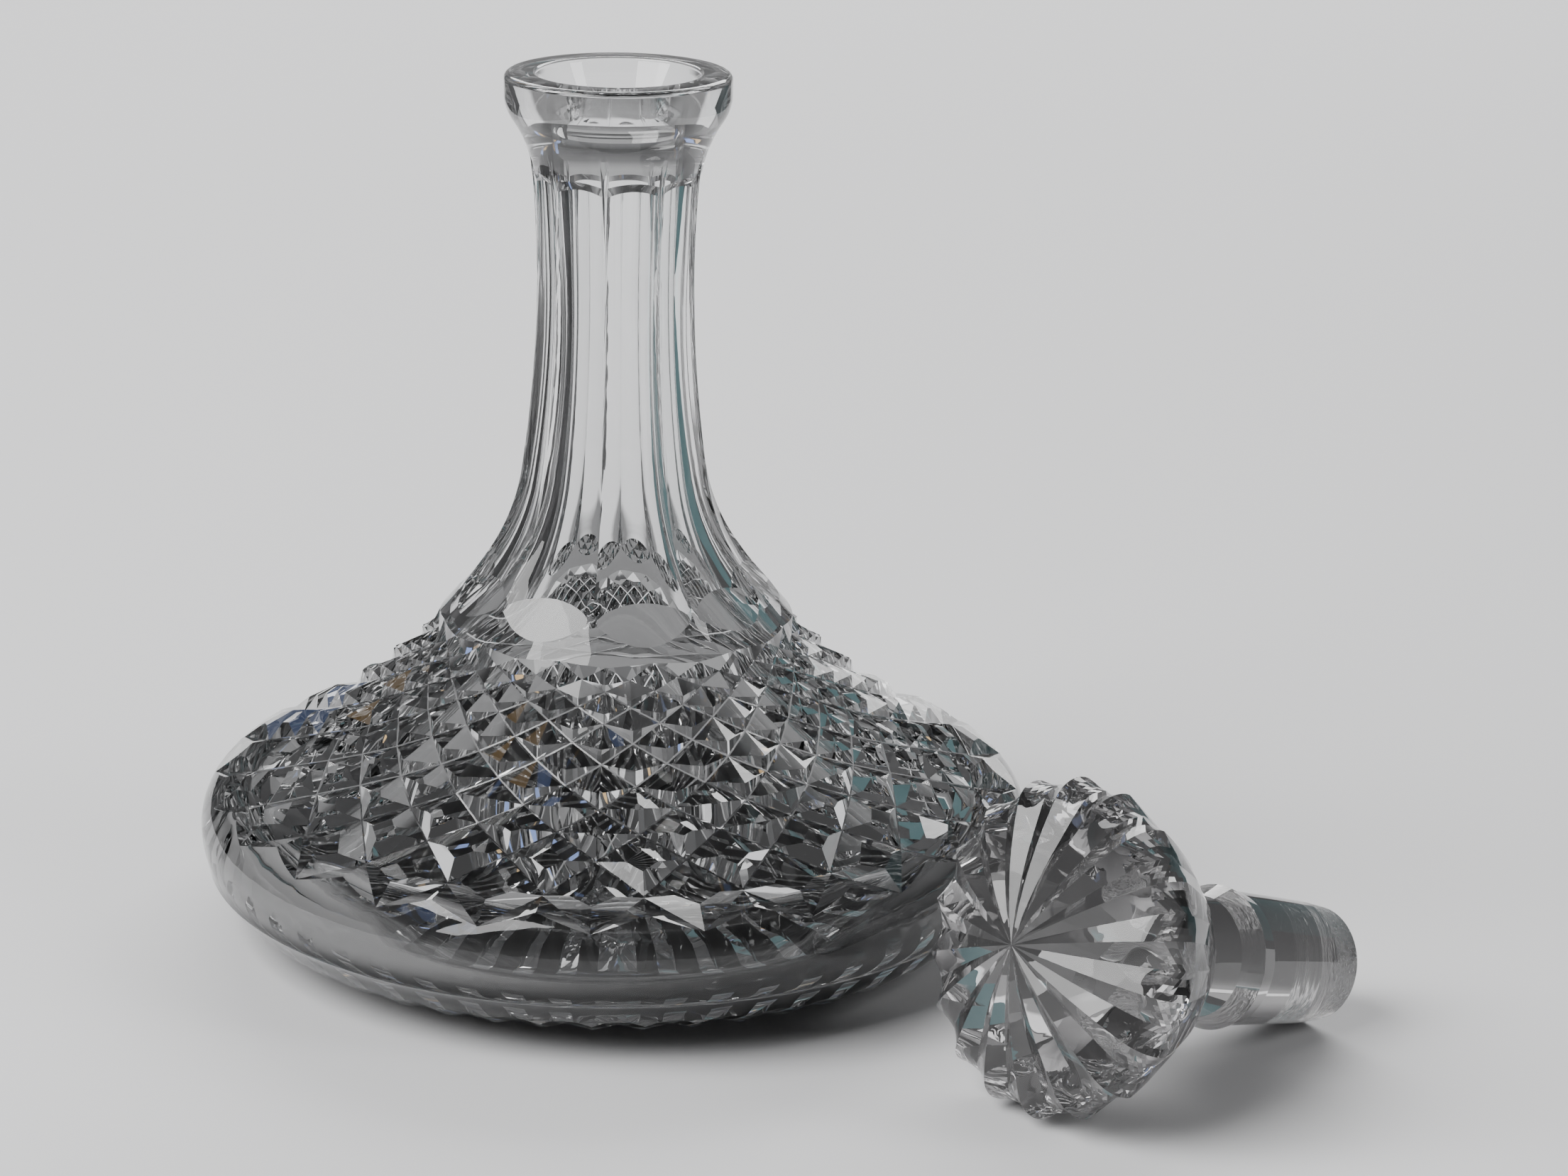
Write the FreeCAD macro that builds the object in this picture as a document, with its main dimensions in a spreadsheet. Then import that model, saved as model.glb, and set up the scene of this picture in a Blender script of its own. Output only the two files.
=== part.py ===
import FreeCAD, Part
import math
import os
import Sketcher

# A ship's decanter of cut lead crystal and its ground stopper, in millimetres.
# The origin is the middle of the decanter's foot, on the surface it stands on, with +Z up the neck.
# The stopper lies beside the decanter on the same surface, on the widest rim of its head and the end of its plug.

# ---------------------------------------------------------------- driving dimensions
# A round section is a list of points: distance from the piece's own axis, then height along it.
DECANTER_POINTS = {
    # outside, from the middle of the foot outwards and up to the lip
    "punt_middle": (0.0, 1.5),
    "punt_edge": (50.0, 1.5),
    "foot_inner": (51.5, 0.0),
    "foot_outer": (67.0, 0.0),
    "keel": (86.4, 6.1),
    "belly": (95.0, 22.5),
    "brow": (88.2, 33.6),
    "shoulder": (29.1, 85.4),
    "neck_root": (21.4, 105.0),
    "throat": (18.1, 169.3),
    "collar": (23.4, 184.9),
    "collar_top": (25.1, 190.3),
    "lip_side": (25.1, 193.6),
    "lip_outer": (23.7, 195.0),
    # inside, from the lip down to the middle of the floor
    "lip_inner": (18.9, 195.0),
    "mouth": (18.1, 194.2),
    "seat_top": (14.45, 187.5),
    "seat_foot": (12.95, 157.5),
    "bore_top": (12.5, 156.5),
    "bore_foot": (12.5, 150.0),
    "bore_root": (15.3, 104.0),
    "inner_shoulder": (24.2, 81.6),
    "inner_brow": (80.4, 30.4),
    "inner_belly": (84.4, 23.4),
    "floor_edge": (70.5, 9.5),
    "floor_middle": (0.0, 9.5),
}
# The stretch that leaves one of these points is an arc that carries on in the direction before it.
DECANTER_ARCS = {
    "foot_outer", "keel", "belly", "brow", "shoulder", "neck_root", "throat", "collar",
    "lip_side", "lip_inner", "bore_foot", "bore_root", "inner_shoulder", "inner_brow", "inner_belly",
}
STOPPER_POINTS = {
    # from the middle of the plug's end up to the top of the head
    "end_middle": (0.0, 0.0),
    "end_edge": (11.9, 0.0),
    "end_corner": (12.5, 0.6),
    "bevel_top": (13.4, 8.0),
    "plug_top": (14.5, 29.5),
    "bead": (15.5, 33.6),
    "bead_top": (12.9, 38.2),
    "waist": (12.5, 45.7),
    "nape": (19.6, 53.6),
    "cheek": (28.9, 66.0),
    "rim_foot": (35.5, 77.9),
    "rim_top": (35.5, 78.9),
    "brow": (30.7, 86.4),
    "crown": (0.0, 94.0),
}
STOPPER_ARCS = {"end_edge", "nape", "cheek", "rim_top", "brow"}
# The flat floor of a flute, seen from the side, from the shoulder up to the collar.
FLUTE_POINTS = {
    "tongue": (42.9, 71.1),
    "foot": (33.5, 76.2),
    "shoulder": (27.3, 85.4),
    "root": (20.1, 105.0),
    "neck": (16.95, 167.0),
    "crest": (21.05, 177.0),
    "clear_top": (60.0, 177.0),
    "clear_foot": (60.0, 71.1),
}
FLUTE_ARCS = {"shoulder", "root"}
# The flat floor of a facet on the back of the stopper's head, from the waist out to the rim.
FACET_POINTS = {
    "waist": (12.2, 45.7),
    "nape": (19.05, 53.6),
    "cheek": (28.2, 66.0),
    "rim": (34.8, 78.2),
    "clear_top": (45.0, 78.2),
    "clear_foot": (45.0, 45.7),
}
FACET_ARCS = {"nape", "cheek"}
SIZES = {
    "flute_count": 9,
    "flute_turn": -79.2,  # degrees from +X to the middle of the first flute
    "flute_width": 56.0,
    "ray_count": 48,  # cuts of the star under the foot
    "ray_start": 12.0,
    "ray_level": 1.5,
    "ray_length": 34.0,
    "ray_side": 6.0,  # half the width of the wheel's edge, as far up as it is wide
    "ray_tilt": 4.4,
    "star_count": 9,  # cuts right across the crown, which make 18 arms
    "star_centre": 52.1,  # height of the middle of a cut's circle
    "star_depth_line": 93.7,  # height of the bottom of a cut on the axis
    "star_side": 18.0,
    "star_rise": 8.4,
    "star_sweep": 190.0,
    "facet_count": 18,
    "facet_width": 24.0,
    "rest_x": 152.7,  # middle of the plug's end when the stopper lies on its side
    "rest_y": -64.8,
    "rest_yaw": 216.6,  # the way the head points, seen from above
    "rest_roll": 10.0,  # about its own axis, which puts a ridge of the head underneath
}

doc = FreeCAD.newDocument("cut_crystal_decanter")
sheet = doc.addObject("Spreadsheet::Sheet", "dims")
sheet.Label = "dims"


def fill_sheet():
    """Puts every driving dimension in a cell of its own, with its name as the alias."""
    cells = {}
    outlines = {
        "decanter": DECANTER_POINTS,
        "stopper": STOPPER_POINTS,
        "flute": FLUTE_POINTS,
        "facet": FACET_POINTS,
    }
    for prefix, points in outlines.items():
        for name, (radius, height) in points.items():
            cells[f"{prefix}_{name}_radius"] = radius
            cells[f"{prefix}_{name}_height"] = height
    cells.update(SIZES)
    for row, (alias, value) in enumerate(cells.items(), start=1):
        sheet.set(f"A{row}", alias)
        sheet.set(f"B{row}", str(value))
        sheet.setAlias(f"B{row}", alias)
    doc.recompute()


# ---------------------------------------------------------------- sketch helpers
def datum(body, role):
    """One of the body's own origin planes or axes."""
    return next(feature for feature in body.Origin.OriginFeatures if feature.Role == role)


def new_sketch(body, name, role, offset=None):
    """A sketch on one of the body's origin planes, turned or shifted by offset."""
    sketch = body.newObject("Sketcher::SketchObject", name)
    sketch.AttachmentSupport = [(datum(body, role), "")]
    sketch.MapMode = "FlatFace"
    if offset is not None:
        sketch.AttachmentOffset = offset
    return sketch


def bind(sketch, kind, points, value, formula):
    """A dimension of the sketch that follows a formula over the sheet's cells."""
    index = sketch.addConstraint(Sketcher.Constraint(kind, *points, value))
    name = f"size_{index}"
    sketch.renameConstraint(index, name)
    sketch.setExpression(f"Constraints.{name}", formula)


def pin(sketch, geometry, end, spot, formulas):
    """Holds one point of the sketch in place; where it is zero it lies on the sketch's own axis."""
    for kind, value, formula, axis in zip(("DistanceX", "DistanceY"), spot, formulas, (-2, -1)):
        if abs(value) < 1e-9:
            sketch.addConstraint(Sketcher.Constraint("PointOnObject", geometry, end, axis))
        else:
            # a distance is measured the way round that makes it positive
            points = (-1, 1, geometry, end) if value > 0 else (geometry, end, -1, 1)
            bind(sketch, kind, points, abs(value), formula if value > 0 else f"-({formula})")


def arc_onwards(start, heading, end):
    """The arc that leaves start along heading and reaches end.

    Gives the arc, whether it turns left, and the heading at its end, in radians.
    """
    chord = end - start
    half_turn = math.remainder(math.atan2(chord.y, chord.x) - heading, 2 * math.pi)
    radius = chord.Length / (2 * math.sin(half_turn))
    centre = start + FreeCAD.Vector(-math.sin(heading), math.cos(heading), 0) * radius
    first = heading - math.copysign(math.pi / 2, radius)
    last = first + 2 * half_turn
    circle = Part.Circle(centre, FreeCAD.Vector(0, 0, 1), abs(radius))
    return Part.ArcOfCircle(circle, min(first, last), max(first, last)), radius > 0, heading + 2 * half_turn


def draw_outline(sketch, prefix, points, arcs):
    """A closed outline through the named points, with an arc leaving each point named in arcs."""
    names = list(points)
    spots = [FreeCAD.Vector(*points[name], 0) for name in names]
    heading = 0.0
    stretches = []
    for index, name in enumerate(names):
        start, end = spots[index], spots[(index + 1) % len(spots)]
        if name in arcs:
            curve, leftwards, heading = arc_onwards(start, heading, end)
        else:
            curve, leftwards = Part.LineSegment(start, end), True
            heading = math.atan2(end.y - start.y, end.x - start.x)
        ends = (1, 2) if leftwards else (2, 1)
        stretches.append((sketch.addGeometry(curve, False), *ends))
    for index, name in enumerate(names):
        geometry, begin, _ = stretches[index]
        before, _, finish = stretches[index - 1]
        joint = "Tangent" if name in arcs else "Coincident"
        sketch.addConstraint(Sketcher.Constraint(joint, before, finish, geometry, begin))
        cell = f"dims.{prefix}_{name}"
        pin(sketch, geometry, begin, points[name], (f"{cell}_radius", f"{cell}_height"))


def draw_wedge(sketch, side, rise, level, side_formula, rise_formula, level_formula):
    """The edge of a cutting wheel: a triangle with its point at level and its base rise away from it."""
    corners = [
        (0.0, level, "0", level_formula),
        (side, level + rise, side_formula, f"{level_formula} + {rise_formula}"),
        (-side, level + rise, f"-{side_formula}", f"{level_formula} + {rise_formula}"),
    ]
    spots = [FreeCAD.Vector(x, y, 0) for x, y, _, _ in corners]
    lines = [sketch.addGeometry(Part.LineSegment(spots[i], spots[(i + 1) % 3]), False) for i in range(3)]
    for index, (x, y, x_formula, y_formula) in enumerate(corners):
        sketch.addConstraint(Sketcher.Constraint("Coincident", lines[index - 1], 2, lines[index], 1))
        pin(sketch, lines[index], 1, (x, y), (x_formula, y_formula))


# ---------------------------------------------------------------- features
def new_body(label):
    """A body that becomes one sub-part."""
    body = doc.addObject("PartDesign::Body", label)
    body.Label = label
    return body


def turn(body, name, sketch):
    """The outline turned once round the body's own axis."""
    feature = body.newObject("PartDesign::Revolution", name)
    feature.Profile = sketch
    feature.ReferenceAxis = (sketch, ["V_Axis"])
    feature.Angle = 360.0
    return feature


def ring(body, name, cut, count_formula):
    """The cut repeated round the body's own axis."""
    feature = body.newObject("PartDesign::PolarPattern", name)
    feature.Originals = [cut]
    feature.Axis = (datum(body, "Z_Axis"), [""])
    feature.Angle = 360.0
    feature.setExpression("Occurrences", count_formula)
    body.Tip = feature
    return feature


def flat_cuts(body, prefix, points, arcs, turn_formula=None):
    """Flat floors cut round the outside: each is the same on both sides of its middle line."""
    angle = SIZES.get(f"{prefix}_turn", 0.0)
    offset = FreeCAD.Placement(FreeCAD.Vector(), FreeCAD.Rotation(FreeCAD.Vector(0, 1, 0), angle))
    sketch = new_sketch(body, f"{prefix}_outline", "XZ_Plane", offset)
    if turn_formula:
        sketch.setExpression("AttachmentOffset.Rotation.Angle", turn_formula)
    draw_outline(sketch, prefix, points, arcs)
    cut = body.newObject("PartDesign::Pocket", f"{prefix}_cut")
    cut.Profile = sketch
    cut.Midplane = True
    cut.setExpression("Length", f"dims.{prefix}_width")
    return ring(body, f"{prefix}_ring", cut, f"dims.{prefix}_count")


def base_star(body):
    """The star under the foot: V cuts that start near the middle and deepen outwards."""
    tilt = FreeCAD.Rotation(FreeCAD.Vector(1, 0, 0), -SIZES["ray_tilt"])
    place = FreeCAD.Placement(FreeCAD.Vector(0, SIZES["ray_level"], SIZES["ray_start"]), tilt)
    sketch = new_sketch(body, "ray_outline", "YZ_Plane", place)
    sketch.setExpression("AttachmentOffset.Base.y", "dims.ray_level")
    sketch.setExpression("AttachmentOffset.Base.z", "dims.ray_start")
    side = SIZES["ray_side"]
    draw_wedge(sketch, side, -side, 0.0, "dims.ray_side", "-dims.ray_side", "0")
    cut = body.newObject("PartDesign::Pocket", "ray_cut")
    cut.Profile = sketch
    cut.Reversed = True
    cut.setExpression("Length", "dims.ray_length")
    return ring(body, "ray_ring", cut, "dims.ray_count")


def crown_star(body):
    """The star on the stopper's head: V cuts that run right over the crown on a wide circle."""
    sketch = new_sketch(body, "star_outline", "YZ_Plane")
    draw_wedge(
        sketch, SIZES["star_side"], SIZES["star_rise"], SIZES["star_depth_line"],
        "dims.star_side", "dims.star_rise", "dims.star_depth_line",
    )
    level = SIZES["star_centre"]
    axle = Part.LineSegment(FreeCAD.Vector(-30, level, 0), FreeCAD.Vector(30, level, 0))
    line = sketch.addGeometry(axle, True)
    sketch.addConstraint(Sketcher.Constraint("Symmetric", line, 1, line, 2, -2))
    bind(sketch, "DistanceY", (-1, 1, line, 1), level, "dims.star_centre")
    bind(sketch, "DistanceX", (line, 1, line, 2), 60.0, "2 * 30")
    cut = body.newObject("PartDesign::Groove", "star_cut")
    cut.Profile = sketch
    cut.ReferenceAxis = (sketch, ["Axis0"])
    cut.Midplane = True
    cut.setExpression("Angle", "dims.star_sweep")
    half_turn = ring(body, "star_ring", cut, "dims.star_count")
    half_turn.Angle = 180.0 * (SIZES["star_count"] - 1) / SIZES["star_count"]
    return half_turn


def lay_down(body):
    """Lays the stopper on its side, on the rim of its head and the edge of its plug's end."""
    end_radius, end_height = STOPPER_POINTS["end_corner"]
    rim_radius, rim_height = STOPPER_POINTS["rim_foot"]
    slope = math.degrees(math.atan2(rim_radius - end_radius, rim_height - end_height))
    yaw, roll = (float(sheet.get(name)) for name in ("rest_yaw", "rest_roll"))
    up, across = FreeCAD.Vector(0, 0, 1), FreeCAD.Vector(0, 1, 0)
    rotation = (
        FreeCAD.Rotation(up, yaw) * FreeCAD.Rotation(across, 90.0 - slope) * FreeCAD.Rotation(up, roll)
    )
    spot = FreeCAD.Vector(float(sheet.get("rest_x")), float(sheet.get("rest_y")), 0.0)
    body.Placement = FreeCAD.Placement(spot, rotation)
    doc.recompute()
    spot.z = -body.Shape.optimalBoundingBox(False).ZMin
    body.Placement = FreeCAD.Placement(spot, rotation)
    doc.recompute()


# ---------------------------------------------------------------- the two pieces
def make_decanter():
    """The bottle: a wide thick foot, a sloping shoulder, a fluted neck and a cupped lip."""
    body = new_body("decanter")
    outline = new_sketch(body, "decanter_outline", "XZ_Plane")
    draw_outline(outline, "decanter", DECANTER_POINTS, DECANTER_ARCS)
    turn(body, "decanter_form", outline)
    doc.recompute()
    flat_cuts(body, "flute", FLUTE_POINTS, FLUTE_ARCS, "dims.flute_turn")
    doc.recompute()
    base_star(body)
    doc.recompute()
    return body


def make_stopper():
    """The stopper: a tapered ground plug, a bead, a waist and a mushroom head cut as a star."""
    body = new_body("stopper")
    outline = new_sketch(body, "stopper_outline", "XZ_Plane")
    draw_outline(outline, "stopper", STOPPER_POINTS, STOPPER_ARCS)
    turn(body, "stopper_form", outline)
    doc.recompute()
    crown_star(body)
    doc.recompute()
    flat_cuts(body, "facet", FACET_POINTS, FACET_ARCS)
    doc.recompute()
    lay_down(body)
    return body


def check_document(parts):
    """Stops on a feature that did not compute, or a sub-part with no sound solid."""
    for item in doc.Objects:
        if {"Invalid", "Error"} & set(item.State):
            raise RuntimeError(f"{item.Name} did not compute: {item.State}")
    for part in parts:
        shape = part.Shape
        if shape.isNull() or not shape.isValid() or len(shape.Solids) != 1:
            raise RuntimeError(f"{part.Label} has no single sound solid")


fill_sheet()
pieces = [make_decanter(), make_stopper()]
check_document(pieces)
os.makedirs("parts", exist_ok=True)
for piece in pieces:
    piece.Shape.exportStep(f"parts/{piece.Label}.step")
    box = piece.Shape.BoundBox
    print(piece.Label, round(piece.Shape.Volume), [round(v, 2) for v in (
        box.XMin, box.YMin, box.ZMin, box.XMax, box.YMax, box.ZMax)])
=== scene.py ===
"""A ship's decanter of cut lead crystal, with its stopper lying beside it.

All shapes are worked out in millimetres and become metres when a mesh is finished.
"""
import logging
import math
from bisect import bisect_right
from dataclasses import dataclass, field
from enum import Enum
from typing import Callable

import bmesh
import bpy
from bmesh.types import BMEdge, BMesh, BMFace, BMLayerItem, BMVert
from bpy.types import Material, Node, NodeSocket, NodeTree, Object
from mathutils import Euler, Matrix, Vector


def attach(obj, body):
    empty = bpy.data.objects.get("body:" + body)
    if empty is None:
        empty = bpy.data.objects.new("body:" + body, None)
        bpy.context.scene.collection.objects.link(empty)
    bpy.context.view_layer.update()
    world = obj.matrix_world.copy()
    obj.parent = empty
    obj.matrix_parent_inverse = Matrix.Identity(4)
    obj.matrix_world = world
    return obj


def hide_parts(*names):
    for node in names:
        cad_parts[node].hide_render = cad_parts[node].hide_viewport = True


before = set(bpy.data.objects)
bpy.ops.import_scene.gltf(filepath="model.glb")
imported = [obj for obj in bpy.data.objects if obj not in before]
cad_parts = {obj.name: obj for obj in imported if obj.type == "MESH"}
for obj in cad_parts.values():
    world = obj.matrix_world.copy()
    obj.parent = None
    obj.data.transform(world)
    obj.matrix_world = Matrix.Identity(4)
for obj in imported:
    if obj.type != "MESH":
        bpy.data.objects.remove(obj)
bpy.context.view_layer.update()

log = logging.getLogger("decanter")

MM = 0.001
MILLILITRES = 1e6  # in a cubic metre
SHARP_ANGLE = math.radians(8.0)  # an edge that turns more than this looks sharp
ARC_STEP = math.radians(5.0)  # a bend past this is a corner and gets a line of its own
SOFT_BEND = ARC_STEP * 0.8  # how far a curve turns between two lines
SAMPLE_STEP = ARC_STEP / 4
SHORTEST_STEP = 0.03
END_GAP = 0.05
STEP_SLACK = 1.01
PROBE = 0.2  # how far to each side a slope is felt
HALVINGS = 40
WELD = 0.004  # points closer than this become one
CUT_GAP = 1e-4
CREASE_GAP = 1e-6
GLASS_BOUNCES = 32
GLOSSY_BOUNCES = 12

Spot = tuple[float, float]
Solid = tuple[float, float, float]
Color = tuple[float, float, float, float]


class Polish(Enum):
    """How a stretch of glass is finished, and the material index that shows it."""

    CLEAR = 0
    SATIN = 1


# ---- outlines
class Outline:
    """A round section: a run of straights and of arcs that each carry on from the stretch before."""

    def __init__(self, points: dict[str, Spot], arcs: set[str], heading: float = 0.0) -> None:
        """Samples the run closely.

        Args:
            points: Radius and height of each named point, in order.
            arcs: The points that an arc leaves; a straight leaves the others.
            heading: Direction of travel at the first point, in radians.
        """
        self.spots: list[Spot] = []
        self.mark: dict[str, float] = {}
        self.lengths: list[float] = [0.0]
        names = list(points)
        for name, after in zip(names, names[1:]):
            start, end = Vector(points[name]), Vector(points[after])
            chord = end - start
            angle = math.atan2(chord.y, chord.x)
            turn = math.remainder(angle - heading, math.tau) if name in arcs else 0.0
            heading = heading + 2 * turn if name in arcs else angle
            self._add(start)
            self.mark[name] = self.lengths[-1]
            pieces = max(1, math.ceil(abs(2 * turn) / SAMPLE_STEP))
            for step in range(1, pieces):
                part = step / pieces
                reach = chord.length * math.sin(turn * part) / math.sin(turn)
                lean = angle - turn + turn * part
                self._add(start + Vector((math.cos(lean), math.sin(lean))) * reach)
        self._add(Vector(points[names[-1]]))
        self.mark[names[-1]] = self.lengths[-1]

    def _add(self, spot: Vector) -> None:
        """Adds one sample to the end of the run.

        Args:
            spot: Radius and height of the sample.
        """
        if self.spots:
            last = self.spots[-1]
            self.lengths.append(self.lengths[-1] + math.dist(last, spot))
        self.spots.append((spot[0], spot[1]))

    def at(self, length: float) -> Spot:
        """The radius and height at a length along the run.

        Args:
            length: How far along the run.

        Returns:
            Radius and height.
        """
        index = min(max(bisect_right(self.lengths, length) - 1, 0), len(self.spots) - 2)
        before, after = self.lengths[index], self.lengths[index + 1]
        part = (length - before) / (after - before)
        (r0, z0), (r1, z1) = self.spots[index], self.spots[index + 1]
        return r0 + (r1 - r0) * part, z0 + (z1 - z0) * part

    def normal(self, length: float) -> Spot:
        """The direction out of the glass, to the right of the way the run goes.

        Args:
            length: How far along the run.

        Returns:
            The direction across and up, one long.
        """
        r0, z0 = self.at(length - PROBE)
        r1, z1 = self.at(length + PROBE)
        size = math.hypot(r1 - r0, z1 - z0)
        return (z1 - z0) / size, -(r1 - r0) / size

    def point(self, length: float, degrees: float, depth: float = 0.0) -> Solid:
        """A point on the turned shape.

        Args:
            length: How far along the run.
            degrees: Angle round the axis.
            depth: How far below the surface.

        Returns:
            The point.
        """
        radius, height = self.at(length)
        across, up = self.normal(length)
        return polar(radius - across * depth, degrees, height - up * depth)

    def find(self, height: float, low: str, high: str) -> float:
        """The length at which a rising stretch between two named points has this height."""
        return boundary(self.mark[low], self.mark[high], lambda length: self.at(length)[1] >= height)

    def steps(self, start: float, end: float, coarse: float) -> list[float]:
        """Lengths from start to end, close together where the run bends.

        Args:
            start: First length, which is in the result.
            end: Last length, which is in the result.
            coarse: Longest step, in millimetres.

        Returns:
            The lengths in order.
        """
        result = [start]
        index = bisect_right(self.lengths, start)
        bent = 0.0
        while index < len(self.lengths) - 1 and self.lengths[index] < end - END_GAP:
            step = self.lengths[index] - result[-1]
            (ra, za), (rb, zb), (rc, zc) = self.spots[index - 1 : index + 2]
            before, after = math.atan2(zb - za, rb - ra), math.atan2(zc - zb, rc - rb)
            bend = abs(math.remainder(after - before, math.tau))
            bent += bend
            if bend > ARC_STEP or bent > SOFT_BEND or step > coarse:
                if step > SHORTEST_STEP:
                    result.append(self.lengths[index])
                bent = 0.0
            index += 1
        while end - result[-1] > coarse * STEP_SLACK:
            result.append(result[-1] + coarse)
        result.append(end)
        return result


def boundary(near: float, far: float, beyond: Callable[[float], bool]) -> float:
    """Where a test changes over.

    Args:
        near: A value for which the test doesn't hold.
        far: A value for which it holds.
        beyond: The test.

    Returns:
        The value between them.
    """
    for _ in range(HALVINGS):
        middle = (near + far) / 2
        if beyond(middle):
            far = middle
        else:
            near = middle
    return near


# ---- meshes
def polar(radius: float, degrees: float, height: float) -> Solid:
    """A point from its distance to the axis, its angle from -Y towards +X, and its height."""
    angle = math.radians(degrees)
    return radius * math.sin(angle), -radius * math.cos(angle), height


def turn_of(spot: Vector) -> float:
    """The angle of a point round the axis, from -Y towards +X, in degrees."""
    return math.degrees(math.atan2(spot.x, -spot.y))


def mapped_grid(
    columns: int, rows: int, place: Callable[[int, int], Solid],
    polish: Callable[[int], Polish] = lambda row: Polish.CLEAR,
) -> BMesh:
    """A grid laid on a surface.

    Args:
        columns: Number of faces across.
        rows: Number of faces along.
        place: The point for a column line and a row line.
        polish: The finish of a row of faces.

    Returns:
        The open mesh.
    """
    mesh = bmesh.new()
    bmesh.ops.create_grid(mesh, x_segments=columns, y_segments=rows, size=0.5)
    for face in mesh.faces:
        row = math.floor((face.calc_center_median().y + 0.5) * rows)
        face.material_index = polish(row).value
    for vert in mesh.verts:
        vert.co = place(round((vert.co.x + 0.5) * columns), round((vert.co.y + 0.5) * rows))
    return mesh


def weld(mesh: BMesh) -> None:
    """Makes points that lie together one, and drops what this leaves empty."""
    bmesh.ops.remove_doubles(mesh, verts=mesh.verts, dist=WELD)
    bmesh.ops.dissolve_degenerate(mesh, dist=WELD, edges=mesh.edges)


def ring_of(mesh: BMesh, count: int) -> None:
    """Repeats a sector all round the axis and welds the joins.

    Args:
        mesh: The sector, which becomes the ring.
        count: Number of sectors in the ring.
    """
    sector = mesh.verts[:] + mesh.edges[:] + mesh.faces[:]
    for step in range(1, count):
        copy = bmesh.ops.duplicate(mesh, geom=sector)["geom"]
        moved = [item for item in copy if isinstance(item, BMVert)]
        turn = Matrix.Rotation(math.tau * step / count, 3, "Z")
        bmesh.ops.rotate(mesh, cent=(0, 0, 0), matrix=turn, verts=moved)
    weld(mesh)


def join(target: BMesh, source: BMesh) -> None:
    """Moves the faces of one mesh into another.

    Args:
        target: The mesh that gets them.
        source: The mesh that is used up.
    """
    carrier = bpy.data.meshes.new("carrier")
    source.to_mesh(carrier)
    target.from_mesh(carrier)
    source.free()
    bpy.data.meshes.remove(carrier)


def open_edges(mesh: BMesh, low: float, high: float) -> list[BMEdge]:
    """The edges of a mesh that have one face.

    Args:
        mesh: The mesh.
        low: Height above which they lie.
        high: Height below which they lie.

    Returns:
        The edges.
    """
    return [
        edge for edge in mesh.edges
        if len(edge.link_faces) == 1 and all(low < vert.co.z < high for vert in edge.verts)
    ]


def finish_piece(
    mesh: BMesh, name: str, materials: list[Material], place: Matrix | None = None
) -> Object:
    """Makes a closed mesh an object in metres, with its sharp edges marked.

    Args:
        mesh: The finished mesh in millimetres.
        name: Name of the object.
        materials: Materials by index.
        place: Where it goes, in millimetres.

    Returns:
        The object, at the origin.
    """
    weld(mesh)
    bmesh.ops.recalc_face_normals(mesh, faces=mesh.faces)
    for face in mesh.faces:
        face.smooth = True
    for edge in mesh.edges:
        edge.smooth = len(edge.link_faces) == 2 and edge.calc_face_angle(0.0) < SHARP_ANGLE
    loose = sum(1 for edge in mesh.edges if len(edge.link_faces) != 2)
    if place is not None:
        bmesh.ops.transform(mesh, matrix=place, verts=mesh.verts)
    bmesh.ops.scale(mesh, vec=(MM, MM, MM), verts=mesh.verts)
    data = bpy.data.meshes.new(name)
    mesh.to_mesh(data)
    log.info("%s: %d faces, %d edges without two faces, %.1f ml of glass",
             name, len(mesh.faces), loose, mesh.calc_volume() * MILLILITRES)
    mesh.free()
    for material in materials:
        data.materials.append(material)
    piece = bpy.data.objects.new(name, data)
    bpy.context.collection.objects.link(piece)
    return piece


def blend(a: Solid, b: Solid, part: float) -> Solid:
    """The point part of the way from a to b."""
    return tuple(p + (q - p) * part for p, q in zip(a, b))


# ---- the bottle
OUTSIDE = Outline(
    {
        "middle": (0.0, 1.5), "punt": (50.0, 1.5), "foot_inner": (51.5, 0.0), "foot_outer": (67.0, 0.0),
        "keel": (86.4, 6.1), "belly": (95.0, 22.5), "brow": (88.2, 33.6), "shoulder": (29.1, 85.4),
        "neck_root": (21.4, 105.0), "throat": (18.1, 169.3), "collar": (23.4, 184.9),
        "collar_top": (25.1, 190.3), "lip_side": (25.1, 193.6), "lip_outer": (23.7, 195.0),
        "lip_inner": (18.9, 195.0), "mouth": (18.1, 194.2), "seat_top": (14.45, 187.5),
        "seat_foot": (12.95, 157.5), "bore_foot": (12.5, 150.0), "bore_root": (15.3, 104.0),
        "inner_shoulder": (24.2, 81.6), "inner_brow": (80.4, 30.4), "inner_belly": (84.4, 23.4),
        "floor_edge": (70.5, 9.5), "floor_middle": (0.0, 9.5),
    },
    {
        "foot_outer", "keel", "belly", "brow", "shoulder", "neck_root", "throat", "collar", "lip_side",
        "lip_inner", "bore_foot", "bore_root", "inner_shoulder", "inner_brow", "inner_belly",
    },
)


def outside_at(height: float) -> float:
    """The length along the bottle's outline at a height on its shoulder or neck."""
    return OUTSIDE.find(height, "belly", "collar_top")


def surface(length: float, degrees: float, depth: float = 0.0) -> Solid:
    """A point on the bottle's outside, or depth below it."""
    return OUTSIDE.point(length, degrees, depth)


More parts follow.
